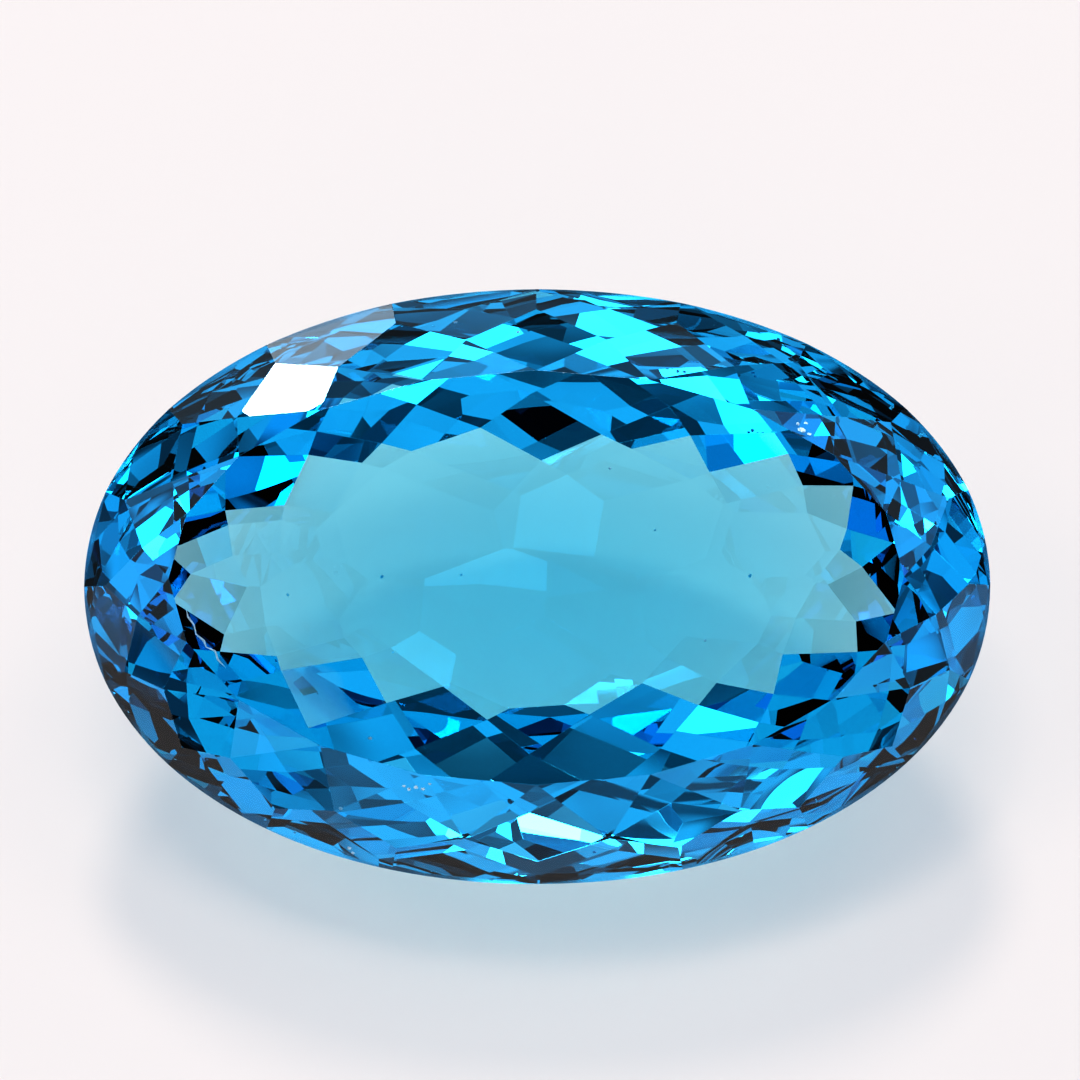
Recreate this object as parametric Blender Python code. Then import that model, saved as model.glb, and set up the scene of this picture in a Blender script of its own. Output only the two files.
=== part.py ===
"""A large oval topaz, cut and polished, lying tilted on a facet of its underside.

Metres, +Z up. The long axis runs along X and the table leans towards -Y.
The stone is worked out upright first, with the girdle's lower edge at height zero and the
table on top, and is then turned so that its resting facet lies on the ground plane.
"""
import math

import bmesh
import bpy
import numpy as np
from mathutils import Vector

MM = 0.001

# Girdle, the widest outline: an oval a little fuller than an ellipse.
HALF_LENGTH = 13.5 * MM
HALF_WIDTH = 8.87 * MM
OUTLINE_POWER = 2.06
GIRDLE_THICKNESS = 0.55 * MM
OUTLINE_STEPS = 160

# Facets stand in columns around the stone, and every second row is half a column over.
COLUMNS = 20
HALF_COLUMN = math.pi / COLUMNS

# Crown, above the girdle.
CROWN_HEIGHT = 2.15 * MM
TABLE_HALF_LENGTH = 10.84 * MM
TABLE_HALF_WIDTH = 6.12 * MM
TABLE_OFFSET = 0.15 * MM
BREAK_ANGLE = math.radians(44.5)
MAIN_FOOT_SHARE = 0.3

# Pavilion, below the girdle: a bowl with a long keel, set a little off the middle. The facet
# that the stone lies on is ground deeper than its neighbours, so it is the largest near it.
PAVILION_DEPTH = 8.0 * MM
KEEL_STRAIGHTNESS = 0.25
KEEL_SHARE = 0.6
KEEL_OFFSET = 0.8 * MM
INNER_ROW = 2
OUTER_ROW = 8
RESTING_ROW = 3
RESTING_CUT = 0.12 * MM

# Facets polished by hand lean a little off their even directions.
HAND_CUT_SPREAD = 0.013
HAND_CUT_SEED = 244

# The blank reaches past the pavilion and the crown by these shares of their heights.
BLANK_BELOW = 1.2
BLANK_ABOVE = 1.5

# A cut snaps to a corner that is nearer than this.
MEET_TOLERANCE = 0.0015 * MM

TOPAZ_BLUE = (0.02, 0.42, 0.8, 1.0)
TOPAZ_IOR = 1.62
POLISHED_ROUGHNESS = 0.02


def oval_point(angle, half_length, half_width, power=2.0):
    """A point of an oval outline, with a power of 2 for an ellipse."""
    cosine = math.cos(angle)
    sine = math.sin(angle)
    x = math.copysign(abs(cosine) ** (2.0 / power), cosine) * half_length
    y = math.copysign(abs(sine) ** (2.0 / power), sine) * half_width
    return x, y


def plane_through(point, normal):
    """A facet's plane: its outward unit normal and its distance from the middle."""
    unit = np.asarray(normal, dtype=float)
    unit = unit / np.linalg.norm(unit)
    return unit, float(unit @ np.asarray(point, dtype=float))


def meeting_point(*planes):
    """The corner where three facet planes meet."""
    normals = np.array([plane[0] for plane in planes])
    distances = np.array([plane[1] for plane in planes])
    return np.linalg.solve(normals, distances)


def plane_of_points(first, second, third):
    """The plane through three corners, facing up and out."""
    normal = np.cross(np.subtract(second, first), np.subtract(third, first))
    if normal[2] < 0.0:
        normal = -normal
    return plane_through(first, normal)


def bowl(x_share, y_share):
    """Depth of the pavilion's bowl and how it falls along X and Y, at shares of the half sizes."""
    rim = 1.0 - x_share**2 - y_share**2
    lift = 1.0 + KEEL_STRAIGHTNESS * x_share**2
    depth = PAVILION_DEPTH * rim * lift
    slope_x = 2.0 * x_share * (KEEL_STRAIGHTNESS * rim - lift)
    slope_y = -2.0 * y_share * lift
    return depth, PAVILION_DEPTH * slope_x / HALF_LENGTH, PAVILION_DEPTH * slope_y / HALF_WIDTH


def bowl_point(row, half_column):
    """Where a pavilion facet would touch the bowl, with the facet's outward direction."""
    spread = (row - 0.5) * HALF_COLUMN
    angle = half_column * HALF_COLUMN
    x_share = KEEL_SHARE * math.cosh(spread) * math.cos(angle)
    y_share = KEEL_SHARE * math.sinh(spread) * math.sin(angle)
    depth, slope_x, slope_y = bowl(x_share, y_share)
    point = (x_share * HALF_LENGTH, y_share * HALF_WIDTH, -depth)
    return point, (-slope_x, -slope_y, -1.0)


def off_centre(plane):
    """A pavilion facet with the keel moved sideways and the girdle left in place."""
    normal, distance = plane
    lean = KEEL_OFFSET / PAVILION_DEPTH
    point = normal * distance
    point = point - np.array((0.0, lean * point[2], 0.0))
    return plane_through(point, normal + np.array((0.0, 0.0, lean * normal[1])))


def pavilion_facets():
    """Planes of the pavilion by row and half column, from the girdle down to the keel.

    The two outer rows touch the bowl. Each later facet starts at the corner where the facet
    two rows above it ends between its neighbours, so four facets meet at every corner.
    """
    facets = {}
    turn = 2 * COLUMNS
    unevenness = np.random.default_rng(HAND_CUT_SEED)
    for row in range(OUTER_ROW, INNER_ROW - 1, -1):
        for half_column in range((row + 1) % 2, turn, 2):
            point, normal = bowl_point(row, half_column)
            if row < OUTER_ROW - 1:
                normal = normal / np.linalg.norm(normal)
                normal = normal + unevenness.normal(0.0, HAND_CUT_SPREAD, 3)
                point = meeting_point(
                    facets[row + 2, half_column],
                    facets[row + 1, (half_column - 1) % turn],
                    facets[row + 1, (half_column + 1) % turn],
                )
            facets[row, half_column] = plane_through(point, normal)
    return {place: off_centre(plane) for place, plane in facets.items()}


def crown_facets():
    """Planes of the crown: break facets on the girdle, mains above them, stars at the table."""
    table_height = GIRDLE_THICKNESS + CROWN_HEIGHT
    rim = []
    table = []
    for column in range(COLUMNS):
        angle = 2 * column * HALF_COLUMN
        x, y = oval_point(angle, HALF_LENGTH, HALF_WIDTH, OUTLINE_POWER)
        rim.append(np.array((x, y, GIRDLE_THICKNESS)))
        x, y = oval_point(angle, TABLE_HALF_LENGTH, TABLE_HALF_WIDTH)
        table.append(np.array((x, y + TABLE_OFFSET, table_height)))
    breaks = []
    for column in range(COLUMNS):
        along = rim[(column + 1) % COLUMNS] - rim[column]
        outward = np.array((along[1], -along[0], 0.0))
        outward = outward / np.linalg.norm(outward)
        normal = outward * math.sin(BREAK_ANGLE) + np.array((0.0, 0.0, math.cos(BREAK_ANGLE)))
        breaks.append(plane_through(rim[column], normal))
    mains = []
    for column in range(COLUMNS):
        mains.append(main_facet(breaks[column - 1], breaks[column], rim[column], table[column]))
    stars = []
    for column in range(COLUMNS):
        after = (column + 1) % COLUMNS
        corner = meeting_point(breaks[column], mains[column], mains[after])
        stars.append(plane_of_points(corner, table[column], table[after]))
    return breaks + mains + stars + [plane_through((0.0, 0.0, table_height), (0.0, 0.0, 1.0))]


def main_facet(left_break, right_break, rim_point, table_point):
    """A main facet, from a corner of the table to a point on the ridge between two breaks."""
    ridge = np.cross(left_break[0], right_break[0])
    ridge = ridge * math.copysign(1.0, ridge[2])
    foot = rim_point + ridge * (MAIN_FOOT_SHARE * CROWN_HEIGHT / ridge[2])
    outward = (left_break[0] + right_break[0]) * np.array((1.0, 1.0, 0.0))
    outward = outward / np.linalg.norm(outward)
    fall = table_point[2] - foot[2]
    run = (foot - table_point) @ outward
    return plane_through(foot, outward * fall + np.array((0.0, 0.0, run)))


def cut(stone, plane):
    """Grinds one flat facet: removes all that lies outside its plane and closes the stone."""
    normal, distance = plane
    result = bmesh.ops.bisect_plane(
        stone,
        geom=stone.verts[:] + stone.edges[:] + stone.faces[:],
        dist=MEET_TOLERANCE,
        plane_co=Vector(normal * distance),
        plane_no=Vector(normal),
        clear_outer=True,
    )
    rim = [item for item in result["geom_cut"] if isinstance(item, bmesh.types.BMEdge)]
    rim = [edge for edge in rim if edge.is_boundary]
    if rim:
        bmesh.ops.contextual_create(stone, geom=rim)


def girdle_blank(stone):
    """An upright oval blank, tall enough to hold the crown and the pavilion."""
    lower = -BLANK_BELOW * PAVILION_DEPTH
    upper = GIRDLE_THICKNESS + BLANK_ABOVE * CROWN_HEIGHT
    ring = []
    for step in range(OUTLINE_STEPS):
        angle = 2.0 * math.pi * step / OUTLINE_STEPS
        x, y = oval_point(angle, HALF_LENGTH, HALF_WIDTH, OUTLINE_POWER)
        ring.append(stone.verts.new((x, y, lower)))
    base = stone.faces.new(ring)
    raised = bmesh.ops.extrude_face_region(stone, geom=[base])
    top = [item for item in raised["geom"] if isinstance(item, bmesh.types.BMVert)]
    bmesh.ops.translate(stone, verts=top, vec=(0.0, 0.0, upper - lower))


def resting_turn(normal):
    """The turn that lays a facet of the underside flat on the ground."""
    down = Vector((0.0, 0.0, -1.0))
    return Vector(normal).rotation_difference(down).to_matrix().to_4x4()


def polished_topaz():
    material = bpy.data.materials.new("polished_topaz")
    material.use_nodes = True
    shader = material.node_tree.nodes["Principled BSDF"]
    shader.inputs["Base Color"].default_value = TOPAZ_BLUE
    shader.inputs["Roughness"].default_value = POLISHED_ROUGHNESS
    shader.inputs["Metallic"].default_value = 0.0
    shader.inputs["IOR"].default_value = TOPAZ_IOR
    shader.inputs["Transmission Weight"].default_value = 1.0
    return material


def make_gemstone():
    pavilion = pavilion_facets()
    near_middle = 3 * COLUMNS // 2
    normal, distance = pavilion[RESTING_ROW, near_middle]
    pavilion[RESTING_ROW, near_middle] = (normal, distance - RESTING_CUT)
    stone = bmesh.new()
    girdle_blank(stone)
    for plane in pavilion.values():
        cut(stone, plane)
    for plane in crown_facets():
        cut(stone, plane)
    stone.transform(resting_turn(normal))
    corners = np.array([vertex.co for vertex in stone.verts])
    low = corners.min(axis=0)
    middle = (low + corners.max(axis=0)) / 2
    bmesh.ops.translate(stone, verts=stone.verts[:], vec=(-middle[0], -middle[1], -low[2]))
    bmesh.ops.recalc_face_normals(stone, faces=stone.faces[:])
    mesh = bpy.data.meshes.new("gemstone")
    stone.to_mesh(mesh)
    stone.free()
    mesh.materials.append(polished_topaz())
    gemstone = bpy.data.objects.new("gemstone", mesh)
    bpy.context.scene.collection.objects.link(gemstone)


def clear_scene():
    for item in list(bpy.data.objects):
        bpy.data.objects.remove(item, do_unlink=True)


clear_scene()
make_gemstone()
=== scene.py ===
"""A cut and polished oval topaz, lying on a pale floor with a soft light behind it."""

import math

import bmesh
import bpy
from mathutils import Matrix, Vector
from mathutils.bvhtree import BVHTree


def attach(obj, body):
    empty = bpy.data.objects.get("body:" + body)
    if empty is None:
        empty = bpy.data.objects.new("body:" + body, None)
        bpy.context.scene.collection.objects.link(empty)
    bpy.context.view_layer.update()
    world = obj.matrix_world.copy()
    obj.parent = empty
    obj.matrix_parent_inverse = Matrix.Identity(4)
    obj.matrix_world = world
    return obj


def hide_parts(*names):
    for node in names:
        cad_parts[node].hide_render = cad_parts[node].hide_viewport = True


MM = 0.001

# The stone. The crown and the girdle are measured along the table's normal.
CROWN_HEIGHT = 2.15 * MM
GIRDLE_THICKNESS = 0.55 * MM
TOPAZ_IOR = 1.62
ABSORPTION = 130.0
CLEARED_COLOUR = (0.0, 0.85, 0.993, 1.0)
EDGE_RUB = 0.018 * MM
JOIN_DISTANCE = 0.0005 * MM
FLAT_ANGLE = math.radians(0.15)
RUBBED = "rubbed"

# The polish: its fine grain and slow wave, and the roughness of each kind of surface.
POLISH_SCALE = 900.0
POLISH_ROUGHNESS = 0.006
GIRDLE_ROUGHNESS = 0.18
RUBBED_ROUGHNESS = 0.2
WAVE_SCALE = 330.0
POLISH_WAVE = 0.008 * MM

# The view: square on to the table, from a little lower than its normal.
PICTURE = 1080.0
VIEW_ELEVATION = 63.6
VIEW_DISTANCE = 200.0 * MM
PIXELS_PER_METRE = 33480.0
OUTLINE_MIDDLE = (537.0, 586.5)
SENSOR_WIDTH = 36.0
CLIP_START = 0.01
MOST_BOUNCES = 10
MOST_MIRRORINGS = 5
MOST_SCATTERINGS = 1

# The floor: a square of card just under the stone, with a deep and a pale tone that blend.
FLOOR_HALF = 1.5
FLOOR_DROP = 0.03 * MM
CLOUD_SCALE = 9.0
FLOOR_DEEP = (0.484, 0.311, 0.216, 1.0)
FLOOR_PALE = (0.498, 0.325, 0.23, 1.0)
FLOOR_GLOW = (0.26, 0.315, 0.38, 1.0)
FLOOR_ROUGHNESS = 0.85
FLOOR_GLOSS = 0.2

# Marks on the stone, at points of the photograph, in pixels across and down, with the half width
# of each one in millimetres. Nicks lie on the outside or on the keel, which shows through the
# table, and pinpoints lie inside the stone, under its surface.
OUTER_NICKS = (
    (802, 430, 0.085),
    (806, 423, 0.05),
    (798, 424, 0.04),
    (809, 434, 0.04),
    (404, 786, 0.035),
    (409, 789, 0.05),
    (416, 787, 0.06),
    (423, 789, 0.04),
    (430, 784, 0.035),
    (349, 848, 0.05),
    (353, 853, 0.04),
)
KEEL_NICKS = (
    (288, 595, 0.035),
    (382, 577, 0.045),
    (461, 575, 0.03),
    (750, 576, 0.045),
    (870, 575, 0.035),
    (393, 652, 0.03),
    (655, 530, 0.025),
)
PINPOINTS = (
    (370, 738, 0.045),
    (340, 812, 0.05),
    (455, 318, 0.045),
    (518, 328, 0.04),
    (610, 468, 0.03),
    (705, 640, 0.035),
)
PINPOINT_DEPTH = 0.35 * MM

# The feather, a fine crack: its path in the same pixels, its half width, how far it lies under the
# surface, its thickness as a share of its width, and how much and how often its width changes.
FEATHER_PATH = (
    (186, 609),
    (188, 617),
    (194, 625),
    (196, 634),
    (204, 641),
    (206, 647),
    (215, 651),
    (218, 660),
    (226, 668),
)
FEATHER_HALF_WIDTH = 0.026 * MM
FEATHER_DEPTH = 0.05 * MM
FEATHER_THICKNESS = 0.18
FEATHER_SWELL = 0.35
FEATHER_BEAT = 2.4

# A line of sight starts this far inside the table when it goes on to the underside.
SKIN = 0.1 * MM

# Flakes: how flat and how uneven those of each piece are, and how long they are for their width.
FLAKES = {
    "surface_nicks": (0.16, 0.02 * MM),
    "keel_nicks": (0.2, 0.01 * MM),
    "pinpoints": (0.8, 0.006 * MM),
}
SHORTEST = 0.7
LONGEST = 1.5

# Broken crystal and the specks inside: a pale and a deep tone and the least roughness.
BROKEN = ((0.95, 0.98, 1.0, 1.0), (0.55, 0.78, 0.95, 1.0), 0.25)
SPECK = ((0.75, 0.9, 1.0, 1.0), (0.1, 0.3, 0.5, 1.0), 0.4)
GRAIN_SCALE = 14000.0
GRAIN_ROUGHNESS = 0.3
GRAIN_STRENGTH = 0.5
GRAIN_DEPTH = 0.01 * MM

# The lights stand round the stone. Each has a direction, in degrees round from the camera's side
# and up from the floor, half its width as the stone sees it, in degrees, and its brightness.
LIGHT_DISTANCE = 0.6
LIGHTS = {
    "key": (184.0, 48.0, 5.6, 42.0),
    "overhead": (188.0, 77.0, 9.0, 7.4),
    "top_spot": (225.0, 74.0, 4.6, 11.0),
    "low_back": (200.0, 12.0, 9.0, 2.6),
    "left_side": (270.0, 58.0, 9.0, 3.3),
    "right_side": (133.0, 55.0, 9.0, 2.8),
    "right_top": (100.0, 73.5, 9.0, 1.8),
    "left_low": (283.0, 30.0, 9.0, 1.6),
    "front_left": (338.0, 20.0, 7.0, 1.7),
    "front_right": (22.0, 20.0, 7.0, 1.7),
    "glint": (210.5, 30.6, 1.0, 22.0),
}
LAMP_TINT = (0.78, 0.9, 1.0)

# The tent round the stone hangs in soft folds. Its dark places are a direction, the angles from it
# inside which the tent is darkest and outside which it is plain, and the share of light left.
TENT_TINT = (0.6, 0.8, 1.0, 1.0)
TENT_SHADE = 0.08
TENT_BRIGHT = 0.74
FOLD_SCALE = 4.5
FOLD_SHIFT = (5.1, 0.0, 0.0)
FOLD_DARK = 0.4
FOLD_LIGHT = 0.6
DARK_PLACES = ((357.0, 70.0, 5.0, 8.0, 0.0), (215.0, 33.0, 9.0, 14.0, 0.15))


class Value:
    """An output of a node, which can be used in sums with other outputs and with numbers."""

    def __init__(self, plan, socket):
        self.plan = plan
        self.socket = socket

    def __add__(self, other):
        return self.plan.math("ADD", self, other)

    def __sub__(self, other):
        return self.plan.math("SUBTRACT", self, other)

    def __rsub__(self, other):
        return self.plan.math("SUBTRACT", other, self)

    def __mul__(self, other):
        return self.plan.math("MULTIPLY", self, other)

    __radd__ = __add__
    __rmul__ = __mul__


class Plan:
    """A tree of nodes."""

    def __init__(self, tree):
        self.tree = tree

    def node(self, kind, settings=None, values=None, output=0):
        """Adds a node with its settings and the values or links of its sockets."""
        made = self.tree.nodes.new(kind)
        for name, setting in (settings or {}).items():
            setattr(made, name, setting)
        for name, value in (values or {}).items():
            self.feed(made.inputs[name], value)
        return Value(self, made.outputs[output])

    def feed(self, socket, value):
        if isinstance(value, Value):
            self.tree.links.new(value.socket, socket)
        else:
            socket.default_value = value

    def math(self, operation, first, second):
        return self.node("ShaderNodeMath", {"operation": operation}, {0: first, 1: second})


def new_material(name):
    """A material, its plan, its main shader and its output."""
    material = bpy.data.materials.new(name)
    material.use_nodes = True
    nodes = material.node_tree.nodes
    return material, Plan(material.node_tree), nodes["Principled BSDF"], nodes["Material Output"]


def make_topaz(table_normal, girdle_low, girdle_high):
    """Clear blue crystal: a bright polish, with worn facet edges and a satin girdle."""
    material, plan, shader, output = new_material("clear_blue_topaz")
    place = plan.node("ShaderNodeTexCoord", output="Object")
    height = plan.node(
        "ShaderNodeVectorMath",
        {"operation": "DOT_PRODUCT"},
        {0: place, 1: tuple(table_normal)},
        output="Value",
    )
    polish = plan.node(
        "ShaderNodeTexNoise", values={"Vector": place, "Scale": POLISH_SCALE, "Detail": 0.0}
    )
    above = plan.math("GREATER_THAN", height, girdle_low)
    below = plan.math("LESS_THAN", height, girdle_high)
    girdle = above * below
    worn = plan.node("ShaderNodeAttribute", {"attribute_name": RUBBED}, output="Fac")
    roughness = polish * POLISH_ROUGHNESS + girdle * GIRDLE_ROUGHNESS
    plan.feed(shader.inputs["Roughness"], roughness + worn * polish * RUBBED_ROUGHNESS)
    wave = plan.node(
        "ShaderNodeTexNoise", values={"Vector": place, "Scale": WAVE_SCALE, "Detail": 0.0}
    )
    plan.feed(
        shader.inputs["Normal"],
        plan.node(
            "ShaderNodeBump",
            values={"Strength": 1.0, "Distance": POLISH_WAVE, "Height": wave},
            output="Normal",
        ),
    )
    shader.inputs["Base Color"].default_value = (1.0, 1.0, 1.0, 1.0)
    shader.inputs["IOR"].default_value = TOPAZ_IOR
    shader.inputs["Transmission Weight"].default_value = 1.0
    depth = plan.node(
        "ShaderNodeVolumeAbsorption",
        values={"Color": CLEARED_COLOUR, "Density": ABSORPTION},
    )
    plan.feed(output.inputs["Volume"], depth)
    return material


def make_floor_finish():
    """Pale matt card, a little warm and faintly uneven, with some light coming up through it."""
    material, plan, shader, output = new_material("pale_card")
    place = plan.node("ShaderNodeTexCoord", output="Object")
    cloud = plan.node(
        "ShaderNodeTexNoise", values={"Vector": place, "Scale": CLOUD_SCALE, "Detail": 0.0}
    )
    tone = plan.node(
        "ShaderNodeMix",
        {"data_type": "RGBA"},
        {"Factor": cloud, 6: FLOOR_DEEP, 7: FLOOR_PALE},
        output=2,
    )
    plan.feed(shader.inputs["Base Color"], tone)
    shader.inputs["Emission Color"].default_value = FLOOR_GLOW
    shader.inputs["Emission Strength"].default_value = 1.0
    shader.inputs["Roughness"].default_value = FLOOR_ROUGHNESS
    shader.inputs["Specular IOR Level"].default_value = FLOOR_GLOSS
    return material


def show(name, mesh):
    """Puts a mesh in the scene as an object of its own."""
    made = bpy.data.objects.new(name, mesh)
    bpy.context.scene.collection.objects.link(made)
    return made


def table_of(mesh):
    """The stone's table: its normal and its middle."""
    table = max(mesh.polygons, key=lambda face: face.area)
    return table.normal.copy(), table.center.copy()


def make_stone(node):
    """The stone with whole facets, whose edges are rubbed by a hair's breadth."""
    cut = bmesh.new()
    cut.from_mesh(node.data)
    bmesh.ops.remove_doubles(cut, verts=cut.verts[:], dist=JOIN_DISTANCE)
    bmesh.ops.dissolve_limit(
        cut,
        angle_limit=FLAT_ANGLE,
        verts=cut.verts[:],
        edges=cut.edges[:],
        use_dissolve_boundaries=False,
    )
    wear = cut.faces.layers.float.new(RUBBED)
    rubbed = bmesh.ops.bevel(
        cut,
        geom=cut.edges[:],
        offset=EDGE_RUB,
        segments=1,
        profile=0.5,
        affect="EDGES",
        clamp_overlap=True,
    )
    for face in rubbed["faces"]:
        face[wear] = 1.0
    bmesh.ops.recalc_face_normals(cut, faces=cut.faces[:])
    mesh = bpy.data.meshes.new("polished_stone")
    cut.to_mesh(mesh)
    cut.free()
    return show("polished_stone", mesh)


class Sight:
    """Finds the places on the stone that the photograph shows at given points."""

    def __init__(self, stone):
        mesh = stone.data
        corners = [vertex.co for vertex in mesh.vertices]
        self.tree = BVHTree.FromPolygons(corners, [tuple(face.vertices) for face in mesh.polygons])
        self.eye = bpy.context.scene.camera.location.copy()

    def towards(self, across, down):
        right, up, back = view_axes()
        line = right * (across - PICTURE / 2) + up * (PICTURE / 2 - down)
        return (line / PIXELS_PER_METRE - back * VIEW_DISTANCE).normalized()

    def outside(self, across, down):
        """The place and the outward direction of the surface at a point."""
        place, normal, _, _ = self.tree.ray_cast(self.eye, self.towards(across, down))
        return place, normal

    def underside(self, across, down):
        """The same where the line of sight, bent at the table, meets the underside."""
        line = self.towards(across, down)
        place, normal = self.outside(across, down)
        slant = -line.dot(normal)
        inner = math.sqrt(1.0 - (1.0 - slant**2) / TOPAZ_IOR**2)
        bent = line / TOPAZ_IOR + normal * (slant / TOPAZ_IOR - inner)
        below, outward, _, _ = self.tree.ray_cast(place + bent * SKIN, bent)
        return below, outward


def flake_tree(finish):
    """Sets a small uneven flake on every point, lying along the surface there."""
    tree = bpy.data.node_groups.new("flakes", "GeometryNodeTree")
    add = tree.interface.new_socket
    add("Places", in_out="INPUT", socket_type="NodeSocketGeometry")
    flatness = add("Flatness", in_out="INPUT", socket_type="NodeSocketFloat")
    uneven = add("Unevenness", in_out="INPUT", socket_type="NodeSocketFloat")
    add("Flakes", in_out="OUTPUT", socket_type="NodeSocketGeometry")
    plan = Plan(tree)
    given = tree.nodes.new("NodeGroupInput")
    names = ("Places", "Flatness", "Unevenness")
    places, flat, rough = (Value(plan, given.outputs[name]) for name in names)
    lie = plan.node(
        "GeometryNodeInputNamedAttribute",
        {"data_type": "FLOAT_VECTOR"},
        {"Name": "lie"},
        output="Attribute",
    )
    half = plan.node(
        "GeometryNodeInputNamedAttribute",
        {"data_type": "FLOAT"},
        {"Name": "half"},
        output="Attribute",
    )
    upright = plan.node("FunctionNodeAlignRotationToVector", {"axis": "Z"}, {"Vector": lie})
    length = plan.node(
        "FunctionNodeRandomValue",
        {"data_type": "FLOAT"},
        {2: SHORTEST, 3: LONGEST, "Seed": 3},
        output=1,
    )
    shape = plan.node(
        "ShaderNodeCombineXYZ",
        values={"X": half * length, "Y": half, "Z": half * flat},
        output="Vector",
    )
    ball = plan.node(
        "GeometryNodeMeshIcoSphere", values={"Radius": 1.0, "Subdivisions": 2}, output="Mesh"
    )
    set_out = plan.node(
        "GeometryNodeInstanceOnPoints",
        values={"Points": places, "Instance": ball, "Rotation": upright, "Scale": shape},
    )
    whole = plan.node("GeometryNodeRealizeInstances", values={"Geometry": set_out})
    knock = plan.node(
        "FunctionNodeRandomValue",
        {"data_type": "FLOAT_VECTOR"},
        {0: (-1.0, -1.0, -1.0), 1: (1.0, 1.0, 1.0), "Seed": 8},
    )
    shift = plan.node(
        "ShaderNodeVectorMath", {"operation": "SCALE"}, {0: knock, "Scale": rough}, output="Vector"
    )
    chipped = plan.node("GeometryNodeSetPosition", values={"Geometry": whole, "Offset": shift})
    dressed = plan.node(
        "GeometryNodeSetMaterial", values={"Geometry": chipped, "Material": finish}
    )
    plan.feed(tree.nodes.new("NodeGroupOutput").inputs["Flakes"], dressed)
    return tree, flatness.identifier, uneven.identifier


def make_flakes(name, marks, finish):
    """A piece of small flakes. A mark is a place, the direction it faces and its half width."""
    points = bpy.data.meshes.new(name)
    points.from_pydata([place for place, _, _ in marks], [], [])
    points.attributes.new("lie", "FLOAT_VECTOR", "POINT")
    points.attributes.new("half", "FLOAT", "POINT")
    for index, (_, normal, size) in enumerate(marks):
        points.attributes["lie"].data[index].vector = normal
        points.attributes["half"].data[index].value = size * MM
    piece = show(name, points)
    tree, flat_input, uneven_input = flake_tree(finish)
    maker = piece.modifiers.new("flakes", "NODES")
    maker.node_group = tree
    maker[flat_input], maker[uneven_input] = FLAKES[name]
    bpy.context.view_layer.update()
    ready = piece.evaluated_get(bpy.context.evaluated_depsgraph_get())
    solid = bpy.data.meshes.new_from_object(ready)
    piece.modifiers.clear()
    piece.data = solid
    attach(piece, "root")


def make_feather(sight, finish):
    """A thin curved crack just under the surface: a sliver that narrows to both ends."""
    cut = bmesh.new()
    rings = []
    last = len(FEATHER_PATH) - 1
    places = [sight.outside(*point) for point in FEATHER_PATH]
    for step, (place, normal) in enumerate(places):
        centre = place - normal * FEATHER_DEPTH
        along = places[min(step + 1, last)][0] - places[max(step - 1, 0)][0]
        side = along.cross(normal).normalized()
        if step in (0, last):
            rings.append([cut.verts.new(centre)])
            continue
        half = FEATHER_HALF_WIDTH * (1.0 - FEATHER_SWELL * math.cos(FEATHER_BEAT * step))
        thick = FEATHER_THICKNESS * half
        corners = (side * half, normal * thick, side * -half, normal * -thick)
        rings.append([cut.verts.new(centre + corner) for corner in corners])
    for before, after in zip(rings, rings[1:]):
        for turn in range(4):
            corners = [before[turn % len(before)], before[(turn + 1) % len(before)]]
            corners += [after[(turn + 1) % len(after)], after[turn % len(after)]]
            cut.faces.new(list(dict.fromkeys(corners)))
    bmesh.ops.recalc_face_normals(cut, faces=cut.faces[:])
    mesh = bpy.data.meshes.new("feather")
    cut.to_mesh(mesh)
    cut.free()
    mesh.materials.append(finish)
    piece = show("feather", mesh)
    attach(piece, "root")


def make_broken_crystal(name, pale, deep, roughness):
    """The uneven, frosted look of broken crystal."""
    material, plan, shader, _ = new_material(name)
    place = plan.node("ShaderNodeTexCoord", output="Object")
    grain = plan.node(
        "ShaderNodeTexNoise", values={"Vector": place, "Scale": GRAIN_SCALE, "Detail": 3.0}
    )
    tone = plan.node(
        "ShaderNodeMix", {"data_type": "RGBA"}, {"Factor": grain, 6: deep, 7: pale}, output=2
    )
    plan.feed(shader.inputs["Base Color"], tone)
    plan.feed(shader.inputs["Roughness"], grain * GRAIN_ROUGHNESS + roughness)
    plan.feed(
        shader.inputs["Normal"],
        plan.node(
            "ShaderNodeBump",
            values={"Strength": GRAIN_STRENGTH, "Distance": GRAIN_DEPTH, "Height": grain},
            output="Normal",
        ),
    )
    shader.inputs["IOR"].default_value = TOPAZ_IOR
    return material


def make_marks(stone):
    """Small nicks, a feather and pinpoints, where the photograph shows them."""
    sight = Sight(stone)
    broken = make_broken_crystal("broken_crystal", *BROKEN)
    speck = make_broken_crystal("mineral_speck", *SPECK)
    outer = [(*sight.outside(across, down), size) for across, down, size in OUTER_NICKS]
    make_flakes("surface_nicks", outer, broken)
    keel = [(*sight.underside(across, down), size) for across, down, size in KEEL_NICKS]
    make_flakes("keel_nicks", keel, broken)
    sunk = []
    for across, down, size in PINPOINTS:
        place, normal = sight.outside(across, down)
        sunk.append((place - normal * PINPOINT_DEPTH, normal, size))
    make_flakes("pinpoints", sunk, speck)
    make_feather(sight, broken)


def make_floor(finish):
    around = ((-1, -1), (1, -1), (1, 1), (-1, 1))
    corners = [(x * FLOOR_HALF, y * FLOOR_HALF, -FLOOR_DROP) for x, y in around]
    mesh = bpy.data.meshes.new("floor")
    mesh.from_pydata(corners, [], [(0, 1, 2, 3)])
    mesh.materials.append(finish)
    floor = show("floor", mesh)


def view_axes():
    """The picture's right and up, and the direction from the stone to the camera."""
    lift = math.radians(VIEW_ELEVATION)
    back = Vector((0.0, -math.cos(lift), math.sin(lift)))
    right = Vector((1.0, 0.0, 0.0))
    return right, back.cross(right), back


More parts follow.
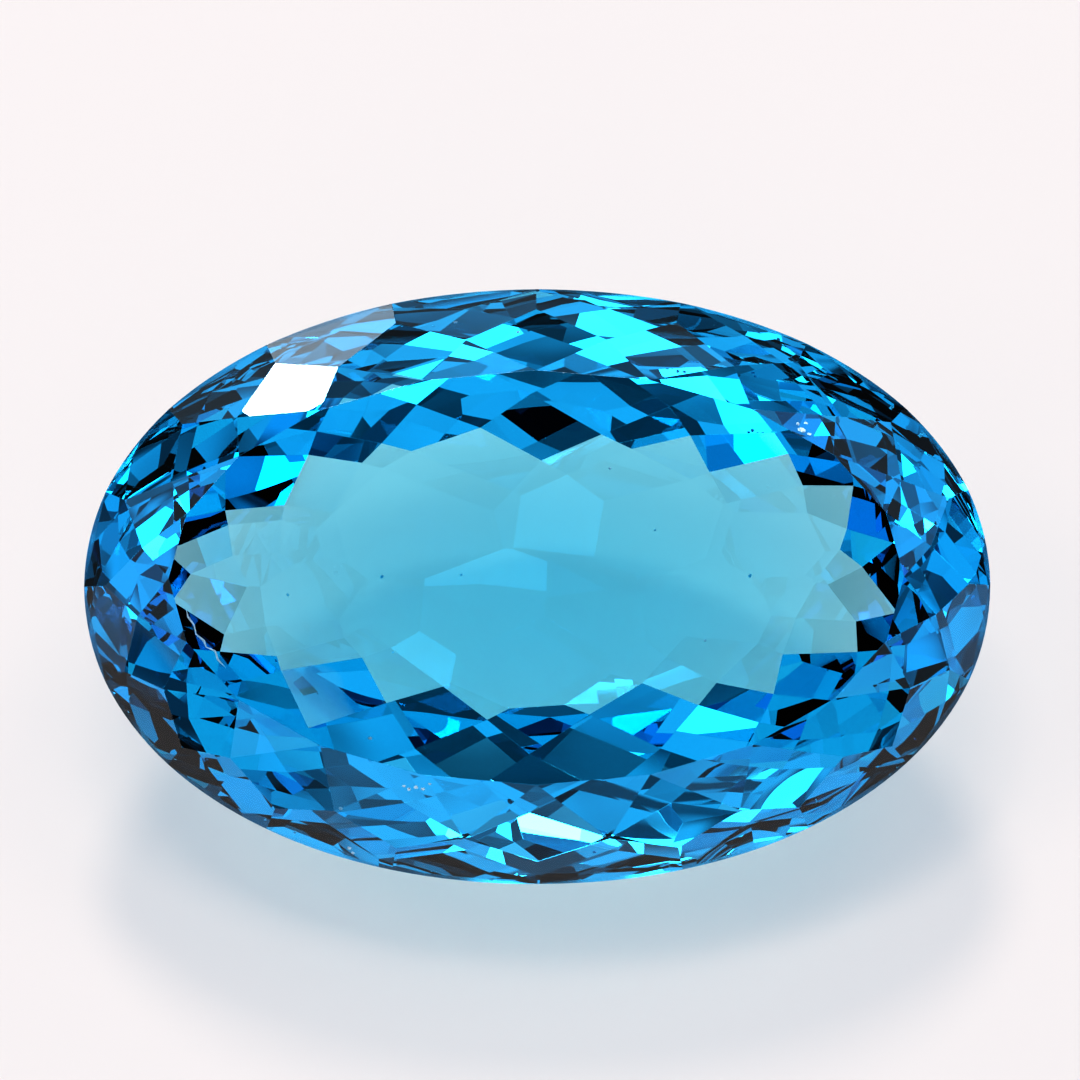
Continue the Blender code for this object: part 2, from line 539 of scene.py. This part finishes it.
def make_camera(stone):
    """The camera, set so that the stone's outline falls where the photograph has it."""
    right, up, back = view_axes()
    points = [vertex.co for vertex in stone.data.vertices]
    across = [point.dot(right) for point in points]
    along = [point.dot(up) for point in points]
    depth = sorted(point.dot(back) for point in points)
    middle = right * (min(across) + max(across)) / 2 + up * (min(along) + max(along)) / 2
    middle += back * depth[len(depth) // 2]
    shift_right = (PICTURE / 2 - OUTLINE_MIDDLE[0]) / PIXELS_PER_METRE
    shift_up = (OUTLINE_MIDDLE[1] - PICTURE / 2) / PIXELS_PER_METRE
    data = bpy.data.cameras.new("camera")
    data.sensor_width = SENSOR_WIDTH
    data.lens = data.sensor_width * VIEW_DISTANCE * PIXELS_PER_METRE / PICTURE
    data.clip_start = CLIP_START
    camera = bpy.data.objects.new("camera", data)
    camera.location = middle + right * shift_right + up * shift_up + back * VIEW_DISTANCE
    camera.rotation_euler = (-back).to_track_quat("-Z", "Y").to_euler()
    bpy.context.scene.collection.objects.link(camera)
    bpy.context.scene.camera = camera


def direction(azimuth, elevation):
    """A direction from the stone, in degrees round from the camera's side and up from the floor."""
    turn = math.radians(azimuth)
    lift = math.radians(elevation)
    level = math.cos(lift)
    return Vector((math.sin(turn) * level, -math.cos(turn) * level, math.sin(lift)))


def make_light(name, azimuth, elevation, half_width, brightness):
    """A round soft light that faces the stone."""
    towards = direction(azimuth, elevation)
    radius = LIGHT_DISTANCE * math.tan(math.radians(half_width))
    data = bpy.data.lights.new(name, "AREA")
    data.shape = "DISK"
    data.size = 2.0 * radius
    data.energy = brightness * (math.pi * radius) ** 2
    data.color = LAMP_TINT
    light = bpy.data.objects.new(name, data)
    light.location = towards * LIGHT_DISTANCE
    light.rotation_euler = towards.to_track_quat("Z", "Y").to_euler()
    bpy.context.scene.collection.objects.link(light)


def make_tent():
    """A pale tent of cloth round the stone, in soft light and dark folds."""
    world = bpy.data.worlds.new("tent")
    world.use_nodes = True
    plan = Plan(world.node_tree)
    place = plan.node("ShaderNodeTexCoord", output="Generated")
    moved = plan.node(
        "ShaderNodeVectorMath", {"operation": "ADD"}, {0: place, 1: FOLD_SHIFT}, output="Vector"
    )
    fold = plan.node(
        "ShaderNodeTexNoise", values={"Vector": moved, "Scale": FOLD_SCALE, "Detail": 1.0}
    )
    light = plan.node(
        "ShaderNodeMapRange",
        {"interpolation_type": "SMOOTHSTEP"},
        {
            "Value": fold,
            "From Min": FOLD_DARK,
            "From Max": FOLD_LIGHT,
            "To Min": TENT_SHADE,
            "To Max": TENT_BRIGHT,
        },
    )
    for azimuth, elevation, inner, outer, left in DARK_PLACES:
        ahead = plan.node(
            "ShaderNodeVectorMath",
            {"operation": "DOT_PRODUCT"},
            {0: place, 1: tuple(direction(azimuth, elevation))},
            output="Value",
        )
        light = light * plan.node(
            "ShaderNodeMapRange",
            {"interpolation_type": "SMOOTHSTEP"},
            {
                "Value": ahead,
                "From Min": math.cos(math.radians(outer)),
                "From Max": math.cos(math.radians(inner)),
                "To Min": 1.0,
                "To Max": left,
            },
        )
    background = world.node_tree.nodes["Background"]
    plan.feed(background.inputs["Strength"], light)
    background.inputs["Color"].default_value = TENT_TINT
    bpy.context.scene.world = world


def make_lights():
    make_tent()
    for name, values in LIGHTS.items():
        make_light(name, *values)


def set_picture():
    scene = bpy.context.scene
    scene.view_settings.view_transform = "Standard"
    scene.view_settings.look = "High Contrast"
    scene.cycles.max_bounces = MOST_BOUNCES
    scene.cycles.transmission_bounces = MOST_BOUNCES
    scene.cycles.glossy_bounces = MOST_MIRRORINGS
    scene.cycles.diffuse_bounces = MOST_SCATTERINGS


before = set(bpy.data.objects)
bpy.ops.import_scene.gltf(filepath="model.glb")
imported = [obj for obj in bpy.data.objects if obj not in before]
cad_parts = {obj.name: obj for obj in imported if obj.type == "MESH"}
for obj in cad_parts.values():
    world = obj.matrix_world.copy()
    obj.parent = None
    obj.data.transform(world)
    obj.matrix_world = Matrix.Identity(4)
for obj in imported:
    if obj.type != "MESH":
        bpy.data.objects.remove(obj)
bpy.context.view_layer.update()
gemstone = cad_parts["gemstone"]
stone = make_stone(gemstone)
normal, middle = table_of(stone.data)
girdle_top = middle.dot(normal) - CROWN_HEIGHT
stone.data.materials.append(make_topaz(normal, girdle_top - GIRDLE_THICKNESS, girdle_top))
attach(stone, "root")
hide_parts("gemstone")
make_floor(make_floor_finish())
make_camera(stone)
make_marks(stone)
make_lights()
set_picture()
